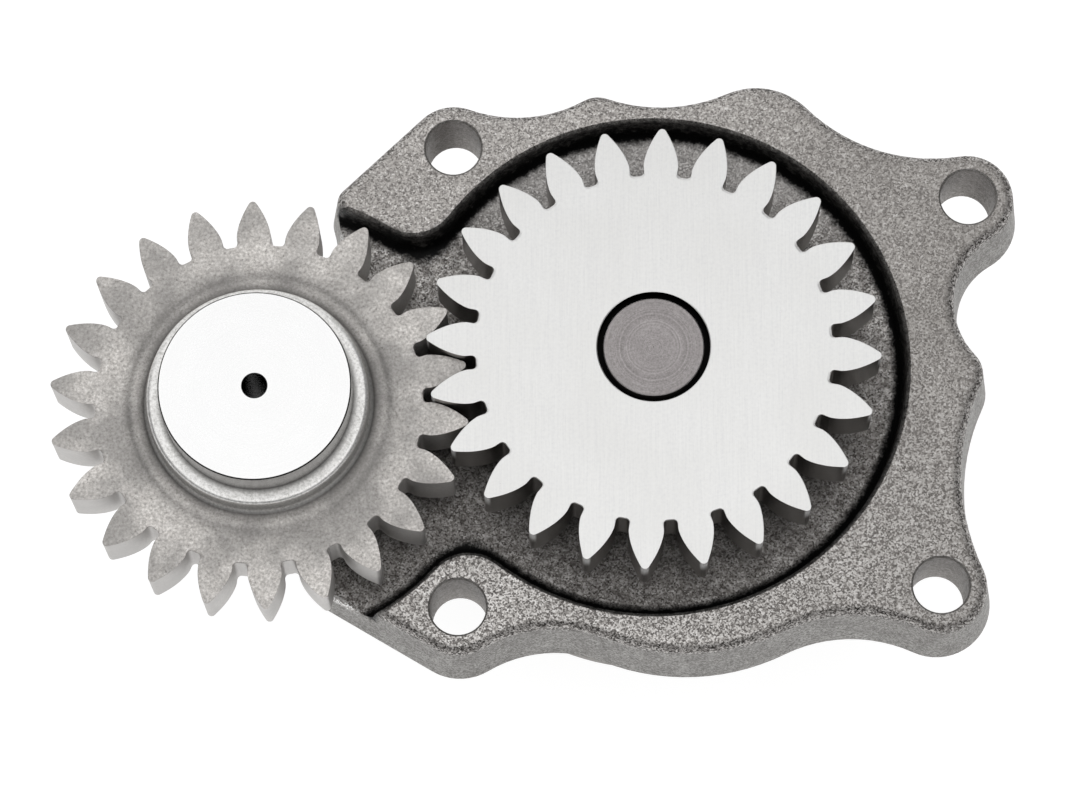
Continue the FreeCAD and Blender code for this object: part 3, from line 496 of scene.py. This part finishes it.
# The pin's sideways faces and its chamfer are painted darker, as shade; the shaft's chamfer is a painted
# highlight.
pin_steel = turned_metal("finely_turned_pin_steel", IDLER_X, IDLER_Y, 0.35, "#e7e7e7", "#f0f0f0", 0.25,
                         side_shading="#8a8886", corner="#454342", hole_mm=2.0)
shaft_steel = turned_metal("turned_shaft_steel", 0.0, 0.0, 0.25, "#7a7675", "#b3aeae", 0.4,
                           side_shading="#8a8685", corner="#f0eceb")
washer_steel = turned_metal("ground_washer_steel", IDLER_X, IDLER_Y, 0.6, "#7b7876", "#9b9896", 0.35)
plate_iron = turned_metal("ground_plate_iron", 0.0, 0.0, 0.8, "#77736f", "#9a9692", 0.42)
bush_bronze = turned_metal("bored_bearing_bronze", 0.0, 0.0, 0.4, "#8a6334", "#b58a52", 0.34)
idler_bronze = turned_metal("bored_idler_bronze", IDLER_X, IDLER_Y, 0.4, "#8a6334", "#b58a52", 0.34)
finish("idler_pin", pin_steel)
finish("drive_shaft", shaft_steel)
finish("idler_thrust_washer", washer_steel)
finish("back_plate", plate_iron)
finish("front_shaft_bush", bush_bronze)
finish("rear_shaft_bush", bush_bronze)
finish("idler_bush", idler_bronze)
print("materials so far:", len(bpy.data.materials))

# %% [markdown]
# Crisp corners on the pin and the shaft
#
# The pin's head and the shaft's end were faced last, so only a hair-thin corner is broken there. The
# CAD pieces have a wider chamfer. A bevel modifier can't make a chamfer narrower, so a copy of each
# mesh has the chamfer's two circles of points drawn together, and nothing else on it changes.

# %% Crisp corners
PIN_HEAD_CHAMFER = 0.5 * MM
SHAFT_RADIUS = 8.0 * MM
SHAFT_CHAMFER = 0.5 * MM


def crisp_copy(name, node, x, y, radius, width, crisp):
    """Copy of a turned piece: the chamfer at its top edge goes from width to crisp, both in metres.

    A point on the chamfer's inner circle moves out by (radius - crisp) / (radius - width).
    """
    mesh = frame["nodes"][node].data.copy()
    points = np.empty(3 * len(mesh.vertices))
    mesh.vertices.foreach_get("co", points)
    points = points.reshape(-1, 3)
    centre = np.array([x, y])
    out = np.hypot(*(points[:, :2] - centre).T)
    top = points[:, 2].max()
    near = 0.02 * MM
    inner = (np.abs(out - radius + width) < near) & (points[:, 2] > top - near)
    outer = (np.abs(out - radius) < near) & (np.abs(points[:, 2] - top + width) < near)
    points[inner, :2] = centre + (points[inner, :2] - centre) * (radius - crisp) / (radius - width)
    points[outer, 2] = top - crisp
    mesh.vertices.foreach_set("co", points.ravel())
    mesh.update()
    made = bpy.data.objects.new(name, mesh)
    bpy.context.scene.collection.objects.link(made)
    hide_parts(node)
    print(name, "points moved:", int(inner.sum()), "and", int(outer.sum()))
    return made


crisp_pin = crisp_copy("crisp_idler_pin", "idler_pin", IDLER_X, IDLER_Y,
                       PIN_HEAD_RADIUS, PIN_HEAD_CHAMFER, 0.2 * MM)
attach(crisp_pin, "housing")
crisp_shaft = crisp_copy("crisp_drive_shaft", "drive_shaft", 0.0, 0.0,
                         SHAFT_RADIUS, SHAFT_CHAMFER, 0.15 * MM)
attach(crisp_shaft, "drive_train")

# %% [markdown]
# Rotors, screws and dowels
#
# These pieces sit behind the flange and show only from the back, so a plain finish is enough: one
# noise gives each its colour, its roughness and its relief. The rotors are sintered like the idler,
# but darker with oil. The plate's screws are blackened by oxide, which leaves a thin soft film, and
# the dowels are ground bright.

# %% Hidden pieces
def grained_metal(name, grain_mm, stops, roughness, depth_mm):
    """Metal with an even grain: one noise gives its colour, its roughness and its relief."""
    made, tree = metal(name, roughness=roughness)
    own = add(tree, "TexCoord", out="Object")
    cloud = add(tree, "TexNoise", {"Vector": own, "Scale": per(grain_mm), "Detail": 3.0, "Roughness": 0.6})
    lead(tree, base_color=add(tree, "ValToRGB", (cloud,), stops=stops),
         roughness=add(tree, "MapRange", (cloud, 0.3, 0.7, roughness * 0.8, roughness * 1.25)),
         normal=add(tree, "Bump", {"Height": cloud, "Distance": depth_mm * MM}))
    return made


rotor_steel = grained_metal("oiled_sintered_steel", 0.5,
                            [(0.3, "#5a5857"), (0.5, "#6c6a6a"), (0.7, "#807e7d")], 0.4, 0.01)
screw_steel = grained_metal("black_oxide_screw_steel", 0.4,
                            [(0.3, "#1d1c1e"), (0.7, "#3a393b")], 0.38, 0.006)
dowel_steel = grained_metal("ground_dowel_steel", 0.6,
                            [(0.3, "#98989a"), (0.7, "#b9b9ba")], 0.25, 0.003)
finish("inner_rotor", rotor_steel)
finish("outer_rotor", rotor_steel)
finish("back_plate_screws", screw_steel)
finish("back_plate_dowels", dowel_steel)
print("materials so far:", len(bpy.data.materials))

# %% [markdown]
# The gears' outline
#
# A gear's flank is an involute, the path of a thread's end as it unwinds from the base circle. The
# CAD gears have it already, with few points. A subdivision modifier would round off the tooth's
# corners, so the curve is worked out again with more points. One half of a tooth is an array of
# complex numbers, from the middle of a gap to the tip: bottom, round corner, straight part, involute
# and tip. The other half is its mirror image, and the whole gear is the tooth multiplied by one turn
# for each tooth. The sizes are the CAD gears' own.

# %% Tooth outline
MODULE = 2.75 * MM
PRESSURE_ANGLE = math.radians(25.0)
ADDENDUM = 3.15 * MM
BACKLASH = 0.26 * MM
TIP_DROP = 0.35 * MM
ROOT_CORNER = 0.7 * MM


def gear_outline(teeth, dedendum, turn):
    """Outline round the origin, counter-clockwise, as x + iy, with the outward normals and the radii.

    On the involute of a base circle b, a point at radius r stands at the angle tan(a) - a from where
    the curve starts, with cos(a) = b / r.
    """
    pitch = MODULE * teeth / 2
    base, tip, root = pitch * math.cos(PRESSURE_ANGLE), pitch + ADDENDUM, pitch - dedendum
    flank_top = tip - TIP_DROP
    base_half = math.pi / (2 * teeth) - BACKLASH / (4 * pitch) + math.tan(PRESSURE_ANGLE) - PRESSURE_ANGLE
    corner_at = root + ROOT_CORNER
    corner_turn = math.pi / teeth - base_half - math.asin(ROOT_CORNER / corner_at)
    corner_angle = corner_turn - math.pi / teeth
    flank_foot = corner_at * math.cos(math.pi / teeth - base_half - corner_turn)

    bottom = root * np.exp(1j * np.linspace(-math.pi / teeth, corner_angle, 4)[:-1])
    sweep = np.linspace(corner_angle + math.pi, math.pi / 2 - base_half, 8)[:-1]
    corner = corner_at * np.exp(1j * corner_angle) + ROOT_CORNER * np.exp(1j * sweep)
    radii = base + (flank_top - base) * np.linspace(0.0, 1.0, 14) ** 1.5
    roll = np.arccos(np.clip(base / radii, -1.0, 1.0))
    involute = radii * np.exp(-1j * (base_half - (np.tan(roll) - roll)))
    foot = np.array([flank_foot * np.exp(-1j * base_half)])
    tip_centre = (tip ** 2 - flank_top ** 2) / (2 * (tip - involute[-1].real))
    start = np.angle(involute[-1] - tip_centre)
    crown = tip_centre + (tip - tip_centre) * np.exp(1j * np.linspace(start, 0.0, 5)[1:])
    half = np.concatenate([bottom, corner, foot, involute, crown])
    tooth = np.concatenate([half, np.conj(half[1:-1][::-1])])
    turns = turn + np.arange(teeth) * 2 * math.pi / teeth
    outline = (np.exp(1j * turns)[:, None] * tooth[None, :]).ravel()
    along = np.roll(outline, -1) - np.roll(outline, 1)
    return outline, -1j * along / np.abs(along), np.abs(outline)


DRIVE_TEETH = 24
DRIVE_DEDENDUM = 4.65 * MM
DRIVE_TURN = math.radians(87.5)
IDLER_TEETH = 22
IDLER_DEDENDUM = 4.15 * MM
idler_way = math.atan2(IDLER_Y, IDLER_X)
past_gap = (idler_way - DRIVE_TURN - math.pi / DRIVE_TEETH) % (2 * math.pi / DRIVE_TEETH)
IDLER_TURN = idler_way + math.pi + past_gap * DRIVE_TEETH / IDLER_TEETH
drive_line = gear_outline(DRIVE_TEETH, DRIVE_DEDENDUM, DRIVE_TURN)
idler_line = gear_outline(IDLER_TEETH, IDLER_DEDENDUM, IDLER_TURN)
print("points round the drive gear:", len(drive_line[0]), "and round the idler:", len(idler_line[0]))

# %% [markdown]
# From outline to gear
#
# The outline is repeated as loops at several heights. Near both faces the loops step inwards, which
# makes the small round that a wire brush leaves, wider down in the gaps where the brush lingers. A
# bevel modifier gives one width all round unless every edge is weighted, so the loops are worked out
# here. The middle of the gear, with its bore and hubs, is a profile turned round the axis. Two flat
# caps close it, each filled between an outermost loop and the profile's ring at that face.

# %% Gear mesh
EDGE_AT_TIPS = 0.09 * MM
EDGE_MORE_IN_GAPS = 0.33 * MM
GAP_HEIGHT = 0.9 * MM
EDGE_STEPS = [(1.0, 0.0), (0.3, 0.18), (0.0, 0.5)]
SHARP_FROM = math.radians(32.0)


def brushed_gear(name, line, front, back, profile, centre, steps=160):
    """Closed gear: loops of the outline, stepped in at the brushed edges, and a turned middle.

    The edge steps are (inset, drop) in widths of the edge. The profile lists (radius, height) from the
    front cap's inner ring to the back cap's, and each of its points makes a ring: radius times e to the
    power of i times the angle.
    """
    outline, outward, radii = line
    gap_depth = 1.0 - np.clip((radii - radii.min()) / GAP_HEIGHT, 0.0, 1.0)
    brushed = EDGE_AT_TIPS + EDGE_MORE_IN_GAPS * gap_depth
    loops = [(outline - outward * brushed * inset, front - brushed * drop) for inset, drop in EDGE_STEPS]
    loops += [(outline - outward * brushed * inset, back + brushed * drop)
              for inset, drop in EDGE_STEPS[::-1]]
    angles = np.exp(1j * np.linspace(0.0, 2 * math.pi, steps, endpoint=False))
    rings = [(radius * angles, np.full(steps, height)) for radius, height in profile]

    count = len(outline)
    middle = count * len(loops)
    flat = [np.column_stack([loop.real, loop.imag, height]) for loop, height in loops + rings]
    points = np.concatenate(flat) + np.array([centre[0], centre[1], 0.0])
    faces = []
    for first, size, layers in ((0, count, len(loops)), (middle, steps, len(rings))):
        here = np.arange(size)
        after = (here + 1) % size
        for layer in range(layers - 1):
            low = first + layer * size
            quads = np.column_stack([low + here, low + after, low + size + after, low + size + here])
            faces += quads.tolist()
    sides = len(faces)
    for outer, inner in ((0, middle), (middle - count, middle + steps * (len(rings) - 1))):
        corners = np.concatenate([outer + np.arange(count), inner + np.arange(steps)])
        level = points[corners] * (1.0, 1.0, 0.0)
        filled = tessellate_polygon([level[:count], level[count:]])
        faces += corners[np.array(filled)].tolist()

    mesh = bpy.data.meshes.new(name)
    mesh.from_pydata(points.tolist(), [], faces)
    work = bmesh.new()
    work.from_mesh(mesh)
    bmesh.ops.recalc_face_normals(work, faces=work.faces)
    open_edges = sum(1 for edge in work.edges if not edge.is_manifold)
    volume = work.calc_volume(signed=True)
    work.to_mesh(mesh)
    work.free()
    mesh.shade_smooth()
    mesh.set_sharp_from_angle(angle=SHARP_FROM)
    mesh.polygons.foreach_set("use_smooth", np.arange(len(faces)) < sides)
    mesh.update()
    made = bpy.data.objects.new(name, mesh)
    bpy.context.scene.collection.objects.link(made)
    print(name, "faces", len(mesh.polygons), "open edges", open_edges, "cubic mm", round(volume * 1e9))
    return made


# %% [markdown]
# The drive gear
#
# The gear is pressed on the shaft. A turned groove runs round the shaft's end in its face, and behind
# it has a short hub. The profile could be cut out with booleans, but it is short and straight, so its
# points are listed, from the groove's broken edge down, through the bore, and over the rear hub.

# %% Drive gear
GEAR_WIDTH = 10.0 * MM
DRIVE_HUB_RADIUS = 14.5 * MM
BROKEN_CORNER = 0.3 * MM
hub_back = gear_low[2]
gear_back = GEAR_FACE - GEAR_WIDTH
groove_floor = GEAR_FACE - 2.5 * MM
drive_profile = np.array([
    (GROOVE_RADIUS + 0.2 * MM, GEAR_FACE), (GROOVE_RADIUS + 0.05 * MM, GEAR_FACE - 0.08 * MM),
    (GROOVE_RADIUS, GEAR_FACE - 0.25 * MM), (GROOVE_RADIUS, groove_floor), (SHAFT_RADIUS, groove_floor),
    (SHAFT_RADIUS, hub_back + BROKEN_CORNER), (SHAFT_RADIUS + BROKEN_CORNER, hub_back),
    (DRIVE_HUB_RADIUS - BROKEN_CORNER, hub_back), (DRIVE_HUB_RADIUS, hub_back + BROKEN_CORNER),
    (DRIVE_HUB_RADIUS, gear_back)])
brushed_drive_gear = brushed_gear("brushed_drive_gear", drive_line, GEAR_FACE, gear_back, drive_profile,
                                  (0.0, 0.0))
brushed_drive_gear.data.materials.append(ground_steel)
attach(brushed_drive_gear, "drive_train")
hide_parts("drive_gear")

# %% [markdown]
# The idler's hub
#
# The idler's hub rises from a low land that the press tool leaves round it, with a soft slope outside
# and a generous round at the hub's foot. A bevel would need a sharp model first. Here the profile
# joins a slope and two arcs end to end, so the light runs over it without a break. The slope is an
# S-curve, 3 s squared less 2 s cubed, which starts and ends level.

# %% Idler gear
def arc(x, z, radius, first, last, steps):
    """Points of a profile's arc: (x, z) plus radius times (cos, sin) of the angles, given in degrees."""
    angles = np.radians(np.linspace(first, last, steps))
    return np.column_stack([x + radius * np.cos(angles), z + radius * np.sin(angles)])


HUB_HEIGHT = 4.7 * MM
LAND_HEIGHT = 0.3 * MM
FOOT_ROUND = 1.4 * MM
RIM_ROUND = 0.8 * MM
IDLER_BORE = 12.5 * MM
idler_face = HUB_TOP - HUB_HEIGHT
idler_back = idler_face - GEAR_WIDTH
slope = np.linspace(0.0, 1.0, 9)
soft_slope = np.column_stack([SLOPE_EDGE - (SLOPE_EDGE - LAND_EDGE) * slope,
                              idler_face + LAND_HEIGHT * slope ** 2 * (3 - 2 * slope)])
foot = arc(HUB_EDGE + FOOT_ROUND, idler_face + LAND_HEIGHT + FOOT_ROUND, FOOT_ROUND, -90, -180, 12)
rim = arc(HUB_EDGE - RIM_ROUND, HUB_TOP - RIM_ROUND, RIM_ROUND, 0, 90, 10)
bore_and_back = np.array([
    (IDLER_BORE + BROKEN_CORNER, HUB_TOP), (IDLER_BORE, HUB_TOP - BROKEN_CORNER),
    (IDLER_BORE, idler_low[2] + BROKEN_CORNER), (IDLER_BORE + BROKEN_CORNER, idler_low[2]),
    (HUB_EDGE - BROKEN_CORNER, idler_low[2]), (HUB_EDGE, idler_low[2] + BROKEN_CORNER),
    (HUB_EDGE, idler_back)])
idler_profile = np.concatenate([soft_slope, foot, rim, bore_and_back])
brushed_idler = brushed_gear("brushed_idler_gear", idler_line, idler_face, idler_back, idler_profile,
                             (IDLER_X, IDLER_Y))
brushed_idler.data.materials.append(sintered_steel)
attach(brushed_idler, "idler")
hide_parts("idler_gear")

# %% [markdown]
# Floor
#
# The pump is shown on plain white with a faint shadow. A white floor alone would come out grey, since
# it only sends back the light that falls on it. So the floor also glows a little, but only for what
# the camera and the metal see; the light that it scatters on the pump is that of a plain white sheet.

# %% Floor
def seen_directly(tree):
    """1 for rays from the camera, from a mirror or through glass, and 0 for light that is scattered."""
    camera, mirror, glass = [add(tree, "LightPath", out=f"Is {ray} Ray")
                             for ray in ("Camera", "Glossy", "Transmission")]
    mirror_or_glass = add(tree, "Math", (mirror, glass), operation="MAXIMUM")
    return add(tree, "Math", (camera, mirror_or_glass), operation="MAXIMUM")


floor_paint = bpy.data.materials.new("white_studio_floor")
floor_paint.use_nodes = True
tree = floor_paint.node_tree
tree.nodes.remove(tree.nodes["Principled BSDF"])
white = add(tree, "BsdfDiffuse", ("#f2f2f2",))
glow = add(tree, "Emission", ("#ffffff", 0.9))
shadow_sheet = add(tree, "BsdfDiffuse", ("#8a8a8a",))
seen = add(tree, "AddShader", (glow, shadow_sheet))
choice = add(tree, "MixShader", (seen_directly(tree), white, seen))
tree.links.new(choice, tree.nodes["Material Output"].inputs["Surface"])

FLOOR_REACH = 6.0
floor_corners = [(x * FLOOR_REACH, y * FLOOR_REACH, STANDING_HEIGHT)
                 for x, y in ((-1, -1), (1, -1), (1, 1), (-1, 1))]
floor_mesh = bpy.data.meshes.new("studio_floor")
floor_mesh.from_pydata(floor_corners, [], [(0, 1, 2, 3)])
floor_mesh.materials.append(floor_paint)
studio_floor = bpy.data.objects.new("studio_floor", floor_mesh)
bpy.context.scene.collection.objects.link(studio_floor)
print("floor at, in mm:", round(STANDING_HEIGHT / MM, 1))

# %% [markdown]
# World
#
# Metal shows what is round it, so the world is part of the finish. A picture of real surroundings is
# the usual way, but it has to be kept beside the script. A ramp by height is enough here. It is
# dimmest about 24 degrees up, which darkens the rounded edges, and brightest overhead. The camera
# itself sees plain white behind the floor's edge.

# %% World
world = bpy.data.worlds.new("studio")
world.use_nodes = True
bpy.context.scene.world = world
tree = world.node_tree
tree.nodes.remove(tree.nodes["Background"])
up = add(tree, "SeparateXYZ", (add(tree, "TexCoord", out="Generated"),), out="Z")
sky = add(tree, "ValToRGB", (up,), stops=[(0.0, "#8a8a8a"), (0.4, "#7c7c7c"), (0.8, "#959595")])
shell = add(tree, "Background", (sky, 1.0))
backdrop = add(tree, "Background", ("#ffffff", 1.0))
choice = add(tree, "MixShader", (add(tree, "LightPath", out="Is Camera Ray"), shell, backdrop))
tree.links.new(choice, tree.nodes["World Output"].inputs["Surface"])
print("world nodes:", len(tree.nodes))

# %% [markdown]
# Lamps
#
# A large softbox hangs where the flat faces mirror it to the camera, which makes the ground and
# turned faces bright and even. A weaker lamp behind lights the upper flanks and the flange's upper
# edge. A sun lamp is a tiny spot in the sky, so flat metal would hardly mirror it. A lamp of area A
# and power P shows a brightness of P / (4 A), and the world behind it adds its own.

# %% Lamps
SOFTBOX_BRIGHTNESS = 0.73
BACK_BRIGHTNESS = 0.6


def hang(lamp, where):
    """Puts a lamp at a place and points it at the origin, where the drive gear's axis is."""
    stand = bpy.data.objects.new(lamp.name, lamp)
    bpy.context.scene.collection.objects.link(stand)
    stand.location = where
    stand.rotation_euler = (-Vector(where)).to_track_quat("-Z", "Y").to_euler()


softbox = bpy.data.lights.new("softbox", "AREA")
softbox.shape = "SQUARE"
softbox.size = 1.9
softbox.energy = SOFTBOX_BRIGHTNESS * 4 * softbox.size ** 2
hang(softbox, (0.0, -0.25, 1.25))

back_light = bpy.data.lights.new("back_light", "AREA")
back_light.shape = "RECTANGLE"
back_light.size = 2.8
back_light.size_y = 1.3
back_light.energy = BACK_BRIGHTNESS * 4 * back_light.size * back_light.size_y
hang(back_light, (-0.35, 1.2, 0.7))
print("lamp powers in watts:", round(softbox.energy, 2), round(back_light.energy, 2))

# %% [markdown]
# Camera
#
# The camera was fitted to the tooth tips of both gears, since their places are known best. Placing it
# by eye would leave the gears a little too large or turned. The fit gives three turns, the distance
# along the view and the sideways shift of the origin, and the lens is the focal length in pixels
# carried over to a 36 mm sensor.

# %% Camera
VIEW_TURNS = (-0.2493, -0.0122, 0.0024)
VIEW_SHIFT = Vector((18.0384, 9.3758, 771.65)) * MM
VIEW_HEIGHT = 25.6 * MM
FOCAL_PIXELS = 4864.66
PICTURE_WIDTH = 1080

about_x, about_y, about_z = [Matrix.Rotation(angle, 3, axis) for angle, axis in zip(VIEW_TURNS, "XYZ")]
from_camera = (about_z @ about_y @ about_x).transposed()
eye = from_camera @ Vector((-VIEW_SHIFT.x, -VIEW_SHIFT.y, VIEW_SHIFT.z)) + Vector((0, 0, VIEW_HEIGHT))
lens = bpy.data.cameras.new("photo_camera")
lens.sensor_width = 36.0
lens.lens = FOCAL_PIXELS * lens.sensor_width / PICTURE_WIDTH
lens.clip_start = 0.01
camera = bpy.data.objects.new("photo_camera", lens)
camera.matrix_world = Matrix.Translation(eye) @ from_camera.to_4x4()
bpy.context.scene.collection.objects.link(camera)
bpy.context.scene.camera = camera
bpy.context.scene.view_settings.view_transform = "Standard"
print("camera at, in mm:", [round(value / MM, 1) for value in eye], "lens", round(lens.lens, 2))
